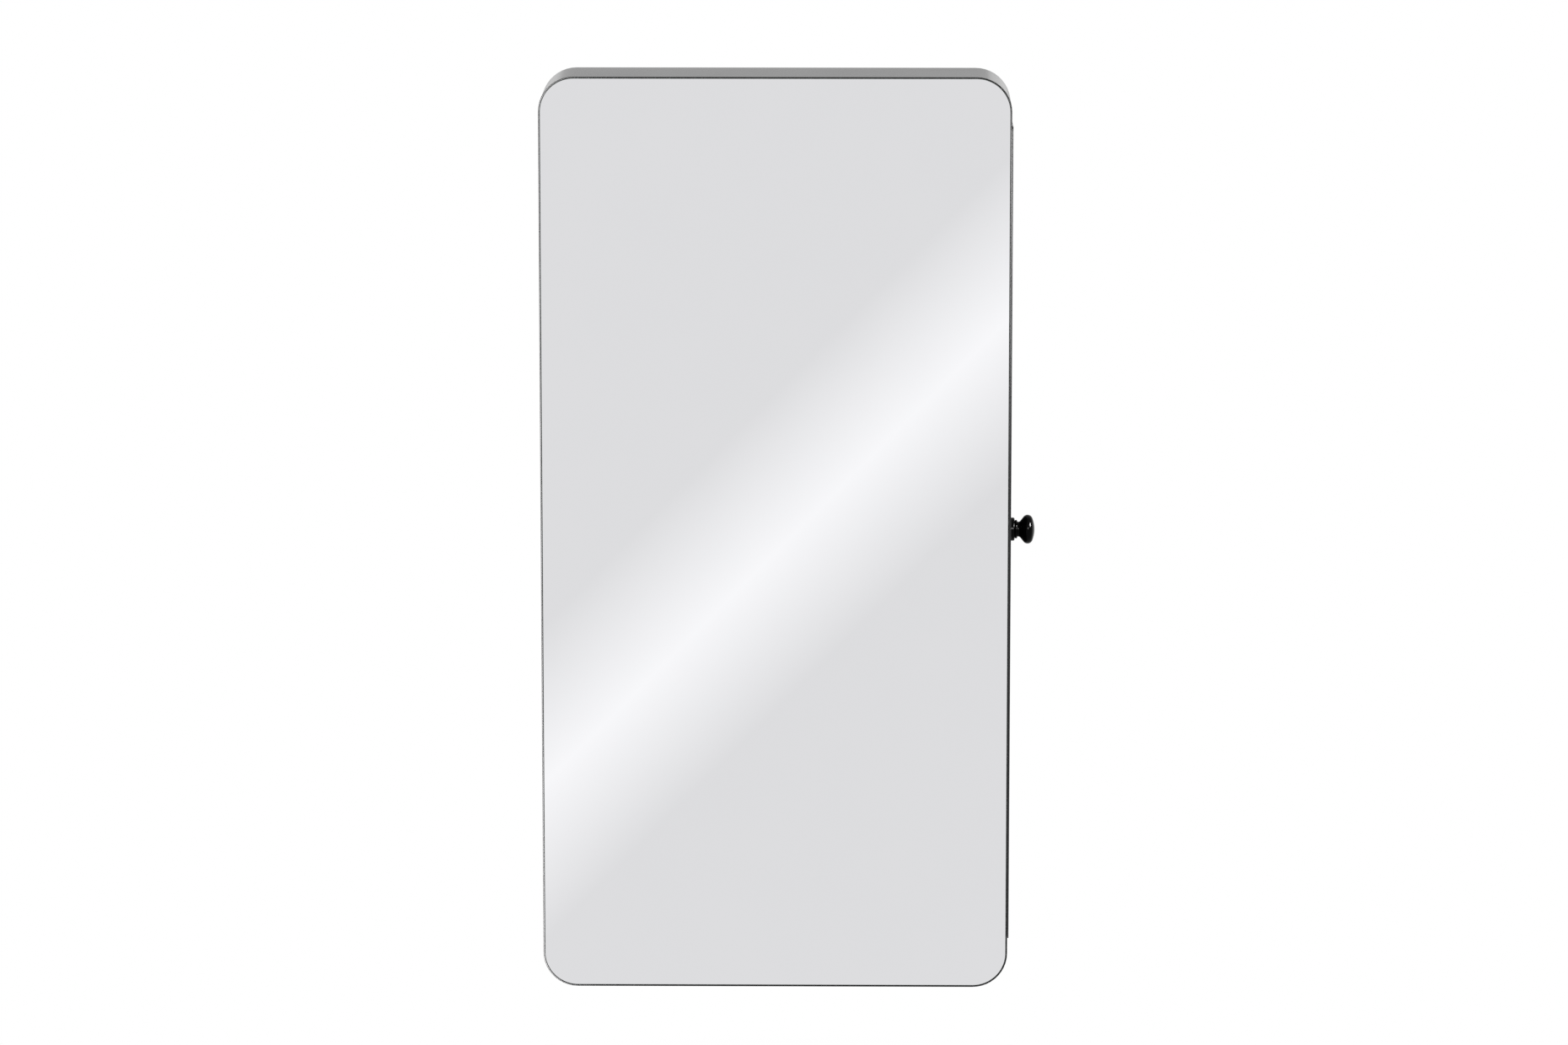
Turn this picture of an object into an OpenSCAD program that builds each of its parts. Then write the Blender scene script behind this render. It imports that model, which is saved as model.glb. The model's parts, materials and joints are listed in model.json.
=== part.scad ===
// Mirrored wall cabinet with a pull-out side rack.
// Millimetres. X points to the knob side, the mirror faces -Y and Z is up.
// The origin is the middle of the wall plane, at the centre of the four hanging keyholes.

/* [Cabinet] */
// Width of the steel band, outside
cabinet_w = 508; // [470:1:600]
// Height of the steel band, outside
cabinet_h = 1002; // [900:1:1150]
// Depth of the steel band, from the wall to its front edge
cabinet_d = 90; // [86:1:120]
// Outer radius of the band's four corners
corner_r = 38; // [28:1:48]
// Sheet thickness of the band
band_t = 1.2; // [1:0.1:1.6]

/* [Mirror] */
// Thickness of the mirror glass
glass_t = 4; // [3:0.5:5]
// How far the glass lies behind the band's front edge
glass_recess = 0.4; // [0.2:0.1:1]
// Gap between the glass edge and the band
glass_gap = 0.4; // [0.3:0.1:1]
// Thickness of the foam tape behind the glass
tape_t = 1; // [0.6:0.1:1.4]
// Width of a strip of foam tape
tape_w = 20; // [12:1:30]
// Number of strips of foam tape
tape_strips = 5; // [3:1:7]
// Sheet thickness of the plate that carries the mirror
plate_t = 1; // [0.8:0.1:1.4]
// Depth of that plate's folded edge
plate_flange = 7; // [5:0.5:7.5]

/* [Back panel] */
// Sheet thickness of the back panel
back_t = 1.2; // [1:0.1:1.6]
// Gap between a welded or screwed sheet and the inside of the band
sheet_gap = 0.2; // [0.1:0.05:0.4]
// Distance across between the hanging keyholes
key_spacing_w = 406.4; // [300:0.1:420]
// Distance from the hanging keyholes to the cabinet's top or bottom
key_end = 111; // [105:1:200]
// Diameter of the round part of a keyhole
key_head_d = 11; // [9:0.5:13]
// Width of the narrow part of a keyhole
key_slot_w = 6; // [4.5:0.5:7]
// Height of the narrow part above the centre of the round part
key_drop = 13; // [11:0.5:16]
// Thickness of the doubler plate behind each keyhole
key_plate_t = 2; // [1.5:0.1:3]
// Width of a fixing tab for the back panel
tab_w = 18; // [14:1:26]
// Length of a fixing tab's legs
tab_leg = 12; // [11:0.5:14]
// Thickness of a fixing tab
tab_t = 1.5; // [1.2:0.1:2]

/* [Side opening] */
// Width of the strip of band left in front of the side opening
opening_front = 14; // [13.5:0.5:18]
// Width of the strip of band left behind the side opening
opening_back = 10; // [8.5:0.5:14]
// Corner radius of the side opening
opening_r = 4; // [2:0.5:8]
// Running gap between the rack and the edges of the side opening
rack_gap = 1.5; // [1:0.1:2.5]

/* [Side panel] */
// Distance from the side panel's end to the top or bottom of the cabinet
panel_end = 53.5; // [50:0.5:70]
// Distance from the side panel's long edges to the cabinet's front and back
panel_margin = 5; // [3:0.5:7]
// How far the side panel laps over the ends of the side opening
panel_lap = 4; // [3:0.5:8]
// Thickness of the side panel
panel_t = 1.2; // [1:0.1:2]
// Radius on the side panel's outer edges
panel_edge_r = 0.8; // [0.4:0.1:0.9]
// Gap between the closed side panel and the band
closing_gap = 0.3; // [0.2:0.1:0.6]

/* [Slides] */
// How far the rack pulls out
travel = 400; // [300:1:405]
// How much longer a closed slide is than its travel
slide_spare = 50; // [40:1:50]
// Width of a slide
slide_w = 45.5; // [42:0.5:48]
// Thickness of a slide
slide_h = 12.7; // [12.5:0.1:14]
// Sheet thickness of the slide members
slide_t = 1; // [0.9:0.05:1.1]
// Diameter of the balls
ball_d = 3; // [2.8:0.1:3.1]
// Gap between a ball and its race
race_gap = 0.05; // [0.04:0.01:0.08]
// Balls in each strip of a cage
balls_per_strip = 7; // [4:1:10]

/* [Rack] */
// Number of shelf bays in the rack
bays = 5; // [4:1:6]
// Sheet thickness of the rack
rack_t = 1.2; // [1:0.1:1.5]
// Height of the folded lips round a shelf
lip_h = 10; // [8:1:16]
// Width of the folded edges of the two uprights
upright_flange = 15; // [12:1:22]
// Space behind the rack for its catch and buffers
rear_space = 16.5; // [15:0.5:24]
// Diameter of the guard rods
rod_d = 5; // [4:0.5:7]
// Height of the guard rods over the shelf below them
rod_rise = 45; // [25:1:70]

/* [Knob] */
// Largest diameter of the knob
knob_d = 31.6; // [28:0.2:36]
// Diameter of the knob's foot
knob_foot_d = 25.4; // [22:0.2:28]
// Diameter of the bead above the foot
knob_bead_d = 20.4; // [18.6:0.2:21]
// Smallest diameter of the knob's neck
knob_neck_d = 16; // [14:0.2:17]
// Angle between the knob's flare and its axis
knob_flare = 52; // [46:1:56]
// Radius of the knob's rounded rim
knob_rim_r = 5; // [4.4:0.1:5.2]
// Distance from the panel to the widest part of the knob
knob_rim_z = 19.4; // [18.6:0.1:20.6]
// Distance from the panel to the tip of the knob
knob_l = 26.5; // [25.4:0.1:29]
// Height of the knob's axis over the middle of the side panel
knob_rise = 1.5; // [-10:0.5:10]

/* [Fasteners] */
// Diameter of the machine screws, studs and rivets
screw_d = 4; // [3.5:0.1:4.5]
// Radial gap between a screw and the hole it passes through
hole_gap = 0.2; // [0.1:0.05:0.3]
// Radial gap between a screw and its thread
thread_gap = 0.05; // [0.04:0.01:0.1]

/* [Hidden] */
$fn = 48;

// Planes across the depth, from the wall at y = 0 to the front
glass_front_y = glass_recess - cabinet_d;
glass_back_y = glass_front_y + glass_t;
plate_front_y = glass_back_y + tape_t;
plate_back_y = plate_front_y + plate_t;
plate_flange_y = plate_front_y + plate_flange;
opening_front_y = opening_front - cabinet_d;
opening_back_y = -opening_back;
opening_d = opening_back_y - opening_front_y;
mid_y = (opening_front_y + opening_back_y) / 2;

// Half sizes of the band, inside and outside
half_w = cabinet_w / 2;
half_h = cabinet_h / 2;
inner_w = half_w - band_t;
inner_h = half_h - band_t;
inner_r = corner_r - band_t;
panel_half = half_h - panel_end;
opening_half = panel_half - panel_lap;

// The doubler plates behind the keyholes
key_plate_w = 4 * key_head_d;
key_plate_h = 3 * key_head_d + key_drop;

// Ball races: the outer row sits in the curled lip of the outer member,
// the inner row sits lower, where the middle member's wall bends round it
race_r = ball_d / 2 + race_gap;
race_back_r = race_r + slide_t;
outer_row_depth = 4.1;
bend_angle = 70;
bend_r = race_r + race_back_r;
outer_row = [slide_w / 2 - race_back_r, slide_h - outer_row_depth];
inner_row = outer_row - bend_r * [cos(bend_angle), sin(bend_angle)];
middle_web_v = inner_row[1] - race_back_r;

// Where the curled walls stop, as angles round their balls
lip_angle = 75;
crest_angle = 120;
foot_angle = 200;

// Length of a closed slide, and its distance from the right side of the band
slide_l = travel + slide_spare;
slide_inset = 1;

// The ball cages, centred in the closed slides
cage_t = 0.5;
cage_l = 0.4 * slide_l;
cage_below = 1.2;
cage_above = 2.2;
inner_cage_inset = 1;
cage_x = inner_w - slide_inset - (slide_l + cage_l) / 2;
cage_pitch = cage_l / balls_per_strip;

// Heights of the slides: the middle member just clears the opening
slide_base = opening_half - rack_gap + middle_web_v;
rack_half = slide_base - slide_h;

// Places along the slides
slide_x = inner_w - slide_inset - slide_l;
middle_setback = 6;
middle_l = slide_l - 2 * middle_setback;
fixing_inset = 40;
fixing_shift = 12;
fixing_pitch = (slide_l - 2 * fixing_inset) / 2;
slide_fixings = [for (i = [0:2]) slide_x + fixing_inset + i * fixing_pitch];
rack_fixings = [for (x = slide_fixings) x - fixing_shift];

// The channels that carry the slides
carrier_t = 1.5;
carrier_lip = 14;
carrier_gap = 0.6;
carrier_front_y = plate_flange_y + carrier_gap;
carrier_back_y = -back_t - carrier_gap;
carrier_end_gap = 3 * carrier_t;

// The rack, between its two uprights
rack_front_y = opening_front_y + rack_gap;
rack_back_y = opening_back_y - rack_gap;
rack_x1 = half_w + closing_gap;
rack_x0 = -inner_w + rear_space;
bay_x0 = rack_x0 + rack_t;
bay_x1 = rack_x1 - rack_t;
tray_front_y = rack_front_y + rack_t + sheet_gap;
tray_back_y = rack_back_y - rack_t - sheet_gap;
bay_pitch = (2 * rack_half - rack_t) / bays;
rod_ys = [tray_front_y + rod_d / 2, tray_back_y - rod_d / 2];

// The side panel
panel_front_y = panel_margin - cabinet_d;
panel_back_y = -panel_margin;
panel_w = panel_back_y - panel_front_y;
knob_y = (panel_front_y + panel_back_y) / 2;
panel_corner_r = 3;
panel_x = rack_x1 + panel_t;

// Fasteners
screw_r = screw_d / 2;
hole_r = screw_r + hole_gap;
thread_r = screw_r + thread_gap;
head_r = 4;
head_h = 2.4;
wafer_h = 0.7;
nut_r = 4;
nut_h = 3.2;
csk_gap = 0.1;
access_r = 1.3 * head_r;
stud_l = 8;
knob_thread_l = 12;
knob_bore_l = 14;
rivet_tail_r = 1.5 * screw_r;
rivet_tail_h = 1.5;
stud_bays = [for (i = [0:bays - 1]) if (abs(2 * i + 1 - bays) > 1) i];
stud_zs = [for (i = stud_bays) (i + 0.5) * bay_pitch - rack_half + rack_t / 2];

// Back panel fixings: x, z and the turn that points each tab inwards
tab_sites = concat(
    [for (s = [-1, 1]) [s * cabinet_w / 4, inner_h, 90]],
    [for (s = [-1, 1]) [s * cabinet_w / 4, -inner_h, -90]],
    [for (s = [-1, 0, 1]) [-inner_w, s * cabinet_h / 4, 0]],
    [for (s = [-1, 0, 1]) [inner_w, s * cabinet_h / 4, 180]]
);
tab_hole_inset = 5;
tab_hole = tab_leg - tab_hole_inset;
tab_weld_leg = 7;
back_screw_l = 7;

// The catch that holds the rack shut: the magnet's pole plates stop just short of the strike
catch_plate_t = 2;
catch_gap = 0.3;
catch_d = 14;
catch_body_l = 30;
catch_l = 46;
lug_t = 2.5;
strike_t = 1.5;
strike_l = 36;
strike_x = rack_x0 - strike_t;
pole_x = strike_x - catch_gap;
pole_proud = 0.6;
pole_t = 1.2;
catch_x0 = -inner_w + catch_plate_t;
catch_x1 = pole_x - pole_proud;
magnet_x0 = catch_x0 + lug_t;
magnet_end_gap = 0.5;
magnet_x1 = catch_x1 - magnet_end_gap;
magnet_l = 20;
magnet_d = 6;
magnet_gap = 0.2;
catch_screw_z = 19;
catch_screw_r = 1.5;
catch_hole_r = catch_screw_r + hole_gap;
catch_head_h = 1.5;
strike_rivet_z = 13;
strike_head_h = 1;

// The rubber buffers
buffer_r = 7;
buffer_edge_r = 2;

// How far a cutting shape runs past what it cuts
over = 1;

// Colours
black_coat = "#1c1c1e";
rack_coat = "#2a2a2d";
inside_coat = "#3a3a3d";
zinc = "#8c8f92";
bright_zinc = "#c4c7ca";

// A rectangle with round corners, centred
module rounded_outline(w, h, r) {
    square([w - 2 * r, h], center = true);
    square([w, h - 2 * r], center = true);
    for (sx = [-1, 1], sy = [-1, 1])
        translate([sx * (w / 2 - r), sy * (h / 2 - r)])
            circle(r);
}

// Extrudes an x-z outline forwards from the plane at y
module sheet_from(y, t) {
    translate([0, y, 0])
        rotate([90, 0, 0])
            linear_extrude(t)
                children();
}

// Extrudes a y-z outline along X
module along_x(x, l) {
    translate([x, 0, 0])
        rotate([90, 0, 90])
            linear_extrude(l)
                children();
}

// A box between two corners
module block(low, high) {
    translate(low)
        cube(high - low);
}

// A round bar along X
module bar_x(x, y, z, r, l) {
    translate([x, y, z])
        rotate([0, 90, 0])
            cylinder(r = r, h = l);
}

// A round bar along Z
module bar_z(x, y, z, r, l) {
    translate([x, y, z])
        cylinder(r = r, h = l);
}

// The same piece at the bottom and, mirrored, at the top
module both_ends() {
    for (s = [0, 1])
        mirror([0, 0, s])
            children();
}

// The bent steel band, with the opening that the rack slides through
module frame_band() {
    color(black_coat)
        difference() {
            sheet_from(0, cabinet_d)
                difference() {
                    rounded_outline(cabinet_w, cabinet_h, corner_r);
                    rounded_outline(2 * inner_w, 2 * inner_h, inner_r);
                }
            along_x(inner_w - band_t, 3 * band_t)
                translate([mid_y, 0])
                    rounded_outline(opening_d, 2 * opening_half, opening_r);
        }
}

// The folded plate welded inside the band, which carries the mirror
module mirror_plate() {
    w = inner_w - sheet_gap;
    h = inner_h - sheet_gap;
    color(inside_coat) {
        sheet_from(plate_back_y, plate_t)
            rounded_outline(2 * w, 2 * h, inner_r - sheet_gap);
        for (s = [-1, 1]) {
            block(
                [s > 0 ? w - plate_t : -w, plate_front_y, corner_r - half_h],
                [s > 0 ? w : plate_t - w, plate_flange_y, half_h - corner_r]
            );
            block(
                [corner_r - half_w, plate_front_y, s > 0 ? h - plate_t : -h],
                [half_w - corner_r, plate_flange_y, s > 0 ? h : plate_t - h]
            );
        }
    }
}

// The mirror, a pane of silvered glass with round corners
module mirror_glass() {
    color("#dcdcde")
        sheet_from(glass_back_y, glass_t)
            rounded_outline(
                2 * (inner_w - glass_gap),
                2 * (inner_h - glass_gap),
                inner_r - glass_gap
            );
}

// Strips of foam tape between the mirror and its plate
module mirror_tape() {
    l = 2 * (inner_h - corner_r);
    pitch = (2 * (inner_w - corner_r) - tape_w) / (tape_strips - 1);
    color("#e8e8e2")
        for (i = [0:tape_strips - 1])
            translate([(i - (tape_strips - 1) / 2) * pitch, 0, 0])
                block([-tape_w / 2, glass_back_y, -l / 2], [tape_w / 2, plate_front_y, l / 2]);
}

// One keyhole, with its round part at the origin
module keyhole() {
    circle(d = key_head_d);
    translate([-key_slot_w / 2, 0])
        square([key_slot_w, key_drop]);
    translate([0, key_drop])
        circle(d = key_slot_w);
}

module at_keyholes() {
    for (sx = [-1, 1], sz = [-1, 1])
        translate([sx * key_spacing_w / 2, sz * (half_h - key_end)])
            children();
}

// Places a child at each fixing tab, with local +X pointing inwards
module at_tabs() {
    for (site = tab_sites)
        translate([site[0], 0, site[1]])
            rotate([0, site[2], 0])
                children();
}

// A countersunk head with its flat face at y = 0, and a shank behind it
module countersunk(gap, shank, depth) {
    rotate([90, 0, 0]) {
        cylinder(r1 = head_r + gap, r2 = shank, h = head_r + gap - shank);
        cylinder(r = shank, h = depth);
    }
}

// The flush back panel, with its keyholes and screw holes
module back_panel() {
    color(black_coat)
        difference() {
            sheet_from(0, back_t)
                difference() {
                    rounded_outline(
                        2 * (inner_w - sheet_gap),
                        2 * (inner_h - sheet_gap),
                        inner_r - sheet_gap
                    );
                    at_keyholes() keyhole();
                }
            at_tabs()
                translate([tab_hole, 0, 0])
                    countersunk(csk_gap, hole_r, 2 * back_t);
        }
}

// Angle tabs welded to the band, which the back panel is screwed to
module back_tabs() {
    color(inside_coat)
        at_tabs()
            difference() {
                union() {
                    block([0, -back_t - tab_weld_leg, -tab_w / 2], [tab_t, -back_t, tab_w / 2]);
                    block([0, -back_t - tab_t, -tab_w / 2], [tab_leg, -back_t, tab_w / 2]);
                }
                translate([tab_hole, 0, 0])
                    countersunk(csk_gap, thread_r, back_t + 2 * tab_t);
            }
}

// The countersunk screws of the back panel
module back_screws() {
    color(black_coat)
        at_tabs()
            translate([tab_hole, 0, 0])
                countersunk(0, screw_r, back_screw_l);
}

// Doubler plates spot-welded behind the keyholes
module keyhole_plates() {
    color(zinc)
        sheet_from(-back_t, key_plate_t)
            at_keyholes()
                difference() {
                    translate([0, key_drop / 2])
                        square([key_plate_w, key_plate_h], center = true);
                    keyhole();
                }
}

// A channel welded across the band, which carries one slide: the lower one
module slide_carrier() {
    x = inner_w - sheet_gap;
    z = -slide_base;
    difference() {
        union() {
            block([-x, carrier_front_y, z - carrier_t], [x, carrier_back_y, z]);
            for (y = [carrier_front_y, carrier_back_y - carrier_t])
                block([-x, y, z - carrier_lip], [x, y + carrier_t, z]);
            for (end = [-x, x - carrier_t])
                block(
                    [end, carrier_front_y + carrier_end_gap, z - carrier_lip],
                    [end + carrier_t, carrier_back_y - carrier_end_gap, z]
                );
        }
        for (fix = slide_fixings)
            bar_z(fix, mid_y, z - 2 * carrier_t, hole_r, 3 * carrier_t);
    }
}

// A ring sector of sheet round a ball race
module race_wall(centre, from, to) {
    span = to - from;
    reach = 3 * race_back_r;
    translate(centre)
        intersection() {
            difference() {
                circle(race_back_r);
                circle(race_r);
            }
            polygon(concat(
                [[0, 0]],
                [for (i = [0:3]) reach * [cos(from + span * i / 3), sin(from + span * i / 3)]]
            ));
        }
}

// Both halves of a slide section
module mirrored_section() {
    for (s = [0, 1])
        mirror([s, 0])
            children();
}

// Outer member: web, straight sides and lips curled over the outer balls
module outer_section() {
    x = slide_w / 2;
    translate([-x, 0])
        square([slide_w, slide_t]);
    mirrored_section() {
        translate([x - slide_t, 0])
            square([slide_t, outer_row[1]]);
        race_wall(outer_row, 0, lip_angle);
    }
}

// Middle member: its wall bends out round the inner balls and in round the outer balls
module middle_section() {
    translate([-inner_row[0], middle_web_v])
        square([2 * inner_row[0], slide_t]);
    mirrored_section() {
        race_wall(inner_row, -90, bend_angle);
        race_wall(outer_row, crest_angle, 180 + bend_angle);
    }
}

// Inner member: a narrow channel whose feet hold the inner balls from inside
module inner_section() {
    x = inner_row[0] - race_r;
    translate([-x, slide_h - slide_t])
        square([2 * x, slide_t]);
    mirrored_section() {
        translate([x - slide_t, inner_row[1]])
            square([slide_t, slide_h - inner_row[1]]);
        race_wall(inner_row, 180, foot_angle);
    }
}

// Turns a slide section into a member that lies on the lower carrier
module slide_member(x, l) {
    translate([0, mid_y, -slide_base])
        along_x(x, l)
            children();
}

module slide_outer() {
    difference() {
        slide_member(slide_x, slide_l) outer_section();
        for (fix = slide_fixings)
            bar_z(fix, mid_y, -slide_base - slide_t, hole_r, 3 * slide_t);
    }
}

// The middle member, with holes to reach the fixings of the outer one
module slide_middle() {
    difference() {
        slide_member(slide_x + middle_setback, middle_l) middle_section();
        for (fix = slide_fixings)
            bar_z(fix, mid_y, -slide_base, access_r, 2 * middle_web_v);
    }
}

module slide_inner() {
    difference() {
        slide_member(slide_x, slide_l) inner_section();
        for (fix = rack_fixings)
            bar_z(fix, mid_y, -rack_half - 3 * slide_t, hole_r, 6 * slide_t);
        for (fix = slide_fixings)
            bar_z(fix, mid_y, -rack_half - 3 * slide_t, access_r, 6 * slide_t);
    }
}

// Balls of one row, at both sides of the lower slide
module ball_row(row) {
    for (s = [-1, 1], i = [0:balls_per_strip - 1])
        translate([cage_x + (i + 0.5) * cage_pitch, mid_y + s * row[0], row[1] - slide_base])
            sphere(d = ball_d);
}

// Comb-shaped strips that keep the balls of one row apart, set in from the ball centres
module ball_cage(row, inset) {
    offcut = max(inset - cage_t / 2, 0);
    pocket = sqrt(pow(ball_d / 2, 2) - pow(offcut, 2)) + race_gap;
    for (s = [-1, 1])
        translate([cage_x, mid_y + s * (row[0] - inset), row[1] - slide_base])
            difference() {
                block([0, -cage_t / 2, -cage_below], [cage_l, cage_t / 2, cage_above]);
                for (i = [0:balls_per_strip - 1])
                    translate([(i + 0.5) * cage_pitch, cage_t, 0])
                        rotate([90, 0, 0])
                            cylinder(r = pocket, h = 2 * cage_t);
            }
}

module outer_ball_cages() {
    color(bright_zinc) both_ends() ball_cage(outer_row, 0);
}

module inner_ball_cages() {
    color(bright_zinc) both_ends() ball_cage(inner_row, inner_cage_inset);
}

module outer_balls() {
    color(bright_zinc) both_ends() ball_row(outer_row);
}

module inner_balls() {
    color(bright_zinc) both_ends() ball_row(inner_row);
}

// Wafer-head screws that hold the outer members to the carriers
module slide_screws() {
    color(bright_zinc)
        both_ends()
            for (fix = slide_fixings) {
                bar_z(fix, mid_y, -slide_base - stud_l, screw_r, stud_l + slide_t);
                bar_z(fix, mid_y, -slide_base + slide_t, head_r, wafer_h);
            }
}

// A hex nut along Z, with its lower face at the origin
module nut() {
    difference() {
        cylinder(r = nut_r, h = nut_h, $fn = 6);
        translate([0, 0, -nut_h])
            cylinder(r = thread_r, h = 3 * nut_h);
    }
}

module slide_nuts() {
    color(bright_zinc)
        both_ends()
            for (fix = slide_fixings)
                translate([fix, mid_y, -slide_base - carrier_t - nut_h])
                    nut();
}

// Plate welded to the left side of the band, which carries the catch
module catch_plate() {
    color(zinc)
        difference() {
            block(
                [-inner_w, mid_y - catch_d / 2, -catch_l / 2],
                [catch_x0, mid_y + catch_d / 2, catch_l / 2]
            );
            for (s = [-1, 1])
                translate([-inner_w - over, mid_y, s * catch_screw_z])
                    rotate([0, 90, 0])
                        cylinder(r = catch_screw_r + thread_gap, h = catch_plate_t + 2 * over);
        }
}

// Moulded housing of the magnetic catch, open towards the rack
module catch_housing() {
    pocket_d = magnet_d + 2 * (pole_t + magnet_gap);
    color("#e6e6e4")
        difference() {
            union() {
                block(
                    [catch_x0, mid_y - catch_d / 2, -catch_body_l / 2],
                    [catch_x1, mid_y + catch_d / 2, catch_body_l / 2]
                );
                block(
                    [catch_x0, mid_y - catch_d / 2, -catch_l / 2],
                    [catch_x0 + lug_t, mid_y + catch_d / 2, catch_l / 2]
                );
            }
            block(
                [magnet_x0, mid_y - pocket_d / 2, -magnet_l / 2 - magnet_gap],
                [catch_x1 + over, mid_y + pocket_d / 2, magnet_l / 2 + magnet_gap]
            );
            for (s = [-1, 1])
                bar_x(catch_x0 - over, mid_y, s * catch_screw_z, catch_hole_r, lug_t + 2 * over);
        }
}

module catch_magnet() {
    color("#55575a")
        block(
            [magnet_x0, mid_y - magnet_d / 2, -magnet_l / 2],
            [magnet_x1, mid_y + magnet_d / 2, magnet_l / 2]
        );
}

// Two steel pole plates beside the magnet, which touch the strike
module catch_poles() {
    color(bright_zinc)
        for (s = [-1, 1])
            translate([0, mid_y + s * (magnet_d + pole_t) / 2, 0])
                block(
                    [magnet_x0, -pole_t / 2, -magnet_l / 2],
                    [pole_x, pole_t / 2, magnet_l / 2]
                );
}

module catch_screws() {
    color(bright_zinc)
        for (s = [-1, 1]) {
            bar_x(-inner_w, mid_y, s * catch_screw_z, catch_screw_r, catch_plate_t + lug_t);
            bar_x(catch_x0 + lug_t, mid_y, s * catch_screw_z, 2 * catch_screw_r, catch_head_h);
        }
}

// Rubber buffers on the left side of the band, which stop the closing rack
module stop_buffers() {
    l = rear_space - catch_gap;
    color(black_coat)
        for (s = [-1, 1])
            translate([-inner_w, mid_y, s * cabinet_h / 5])
                rotate([0, 90, 0])
                    rotate_extrude()
                        difference() {
                            square([buffer_r, l]);
                            translate([buffer_r, l] - buffer_edge_r * [1, 1])
                                difference() {
                                    square(buffer_edge_r + over);
                                    circle(buffer_edge_r);
                                }
                        }
}

// The long side panel, with round outer edges
module side_panel() {
    color(black_coat)
        difference() {
            intersection() {
                along_x(rack_x1, panel_t)
                    translate([knob_y, 0])
                        rounded_outline(panel_w, 2 * panel_half, panel_corner_r);
                translate([0, 0, -panel_half])
                    linear_extrude(2 * panel_half)
                        translate([panel_x - 2 * panel_t, knob_y])
                            rounded_outline(4 * panel_t, panel_w, panel_edge_r);
                sheet_from(0, cabinet_d)
                    translate([panel_x - 2 * panel_t, 0])
                        rounded_outline(4 * panel_t, 2 * panel_half, panel_edge_r);
            }
            bar_x(rack_x1 - over, knob_y, knob_rise, hole_r, panel_t + 2 * over);
        }
}

// Threaded studs welded to the inside of the side panel
module panel_studs() {
    color(bright_zinc)
        for (z = stud_zs)
            bar_x(rack_x1 - stud_l, mid_y, z, screw_r, stud_l);
}

module panel_nuts() {
    color(bright_zinc)
        for (z = stud_zs)
            translate([bay_x1 - nut_h, mid_y, z])
                rotate([0, 90, 0])
                    nut();
}

// Half section of the turned knob: foot, bead, neck, flare and domed head
module knob_section() {
    foot_r = knob_foot_d / 2;
    foot_h = 4.4;
    foot_edge = 1.5;
    bead_r = 1.6;
    bead_lift = 1.4;
    bead_z = foot_h + bead_lift;
    rim = [knob_d / 2 - knob_rim_r, knob_rim_z];
    // The flare is a straight line that touches the arcs of the neck and the rim
    side = [cos(knob_flare), -sin(knob_flare)];
    neck_r = 2.5;
    neck_away = knob_neck_d / 2 + neck_r;
    neck_drop = ((neck_away - rim[0]) * side[0] - knob_rim_r - neck_r) / side[1];
    neck = [neck_away, rim[1] - neck_drop];
    // The dome's arc touches the rim and crosses the axis at the tip
    crown = knob_l - rim[1];
    dome_r = (pow(rim[0], 2) + pow(crown, 2) - pow(knob_rim_r, 2)) / (2 * (crown - knob_rim_r));
    tangent = [rim[0], dome_r - crown] / norm([rim[0], dome_r - crown]);
    square([foot_r, foot_h - foot_edge]);
    square([foot_r - foot_edge, foot_h]);
    translate([foot_r - foot_edge, foot_h - foot_edge])
        circle(foot_edge);
    square([knob_bead_d / 2 - bead_r, bead_z + bead_r]);
    translate([knob_bead_d / 2 - bead_r, bead_z])
        circle(bead_r);
    difference() {
        polygon([
            [0, 0],
            [neck[0], 0],
            [neck[0], neck[1]],
            neck - side * neck_r,
            rim + side * knob_rim_r,
            rim,
            [0, rim[1]]
        ]);
        translate(neck)
            circle(neck_r);
        translate([neck[0], 0])
            square([neck_r, neck[1]]);
        translate([knob_neck_d / 2, 0])
            square([2 * neck_r, neck[1]]);
    }
    translate(rim)
        circle(knob_rim_r);
    intersection() {
        translate([0, knob_l - dome_r])
            circle(dome_r);
        polygon([
            [0, rim[1]],
            rim,
            rim + 2 * knob_rim_r * tangent,
            [rim[0], 2 * knob_l],
            [0, 2 * knob_l]
        ]);
    }
}

// The turned knob, with the threaded hole for its screw
module knob() {
    color(black_coat)
        translate([panel_x, knob_y, knob_rise])
            rotate([0, 90, 0])
                difference() {
                    rotate_extrude()
                        intersection() {
                            knob_section();
                            square([knob_d, 2 * knob_l]);
                        }
                    translate([0, 0, -over])
                        cylinder(r = thread_r, h = knob_bore_l + over);
                }
}

// The machine screw that holds the knob from inside the rack
module knob_screw() {
    color(bright_zinc) {
        bar_x(bay_x1 - head_h, knob_y, knob_rise, head_r, head_h);
        bar_x(bay_x1, knob_y, knob_rise, screw_r, rack_t + panel_t + knob_thread_l);
    }
}

// A folded channel at one end of the rack, with its web between x0 and x0 + rack_t
module upright(x0, inwards) {
    x1 = x0 + rack_t;
    far = inwards > 0 ? x0 + upright_flange : x1 - upright_flange;
    block([x0, rack_front_y, -rack_half], [x1, rack_back_y, rack_half]);
    for (y = [rack_front_y, rack_back_y - rack_t])
        block([min(x0, far), y, -rack_half], [max(x1, far), y + rack_t, rack_half]);
}

module front_upright() {
    color(rack_coat)
        difference() {
            upright(bay_x1, -1);
            for (z = stud_zs)
                bar_x(bay_x1 - over, mid_y, z, hole_r, rack_t + 2 * over);
            bar_x(bay_x1 - over, knob_y, knob_rise, hole_r, rack_t + 2 * over);
        }
}

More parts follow.
